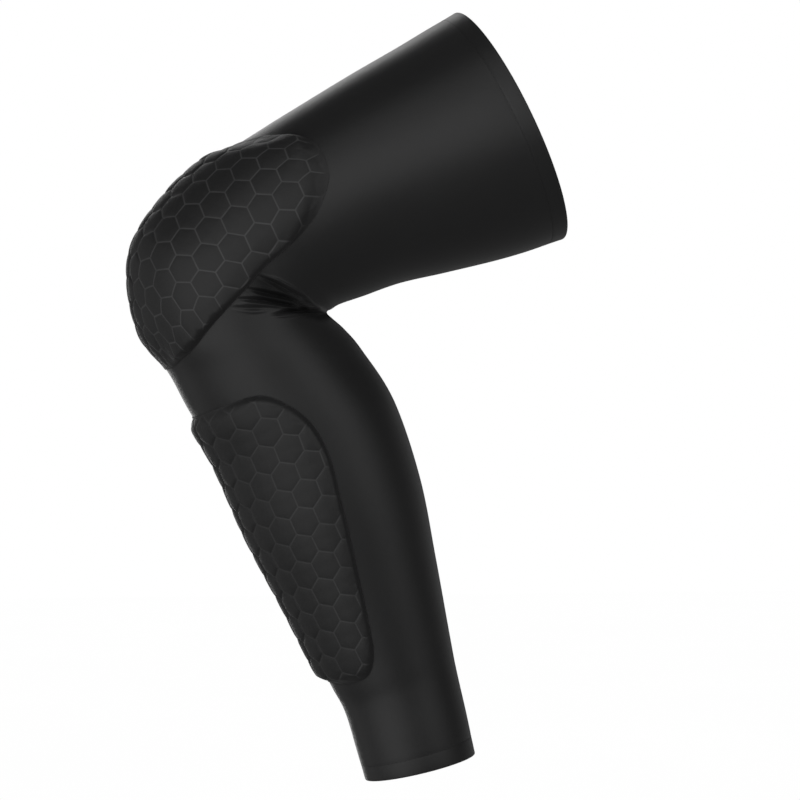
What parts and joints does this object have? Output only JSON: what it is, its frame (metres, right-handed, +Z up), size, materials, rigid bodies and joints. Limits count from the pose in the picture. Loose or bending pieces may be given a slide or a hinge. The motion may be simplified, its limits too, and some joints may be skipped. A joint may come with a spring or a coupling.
{
  "type": "padded knee and shin sleeve",
  "caption": "Long elastic knit leg sleeve in the shape of a bent leg, with a honeycomb foam pad over the knee cap, another down the shin, and a turned-in hem at each mouth.",
  "frame": {"origin": "middle of the knee, inside the sleeve, where the leg holds it", "axes": "+Z up, -X the way the knee points, so that the thigh leaves along +X and up, and Y across the leg"},
  "size_m": [0.2997, 0.162, 0.523],
  "materials": {
    "sleeve_knit": "black elastic knit with a satin sheen",
    "hem_knit": "black elastic knit, inner face",
    "pad_cover": "black knit bonded over foam cells"
  },
  "bodies": {
    "root": {"sleeve": "sleeve_knit", "thigh_hem": "hem_knit", "calf_hem": "hem_knit", "knee_pad": "pad_cover", "shin_pad": "pad_cover"}
  },
  "joints": []
}
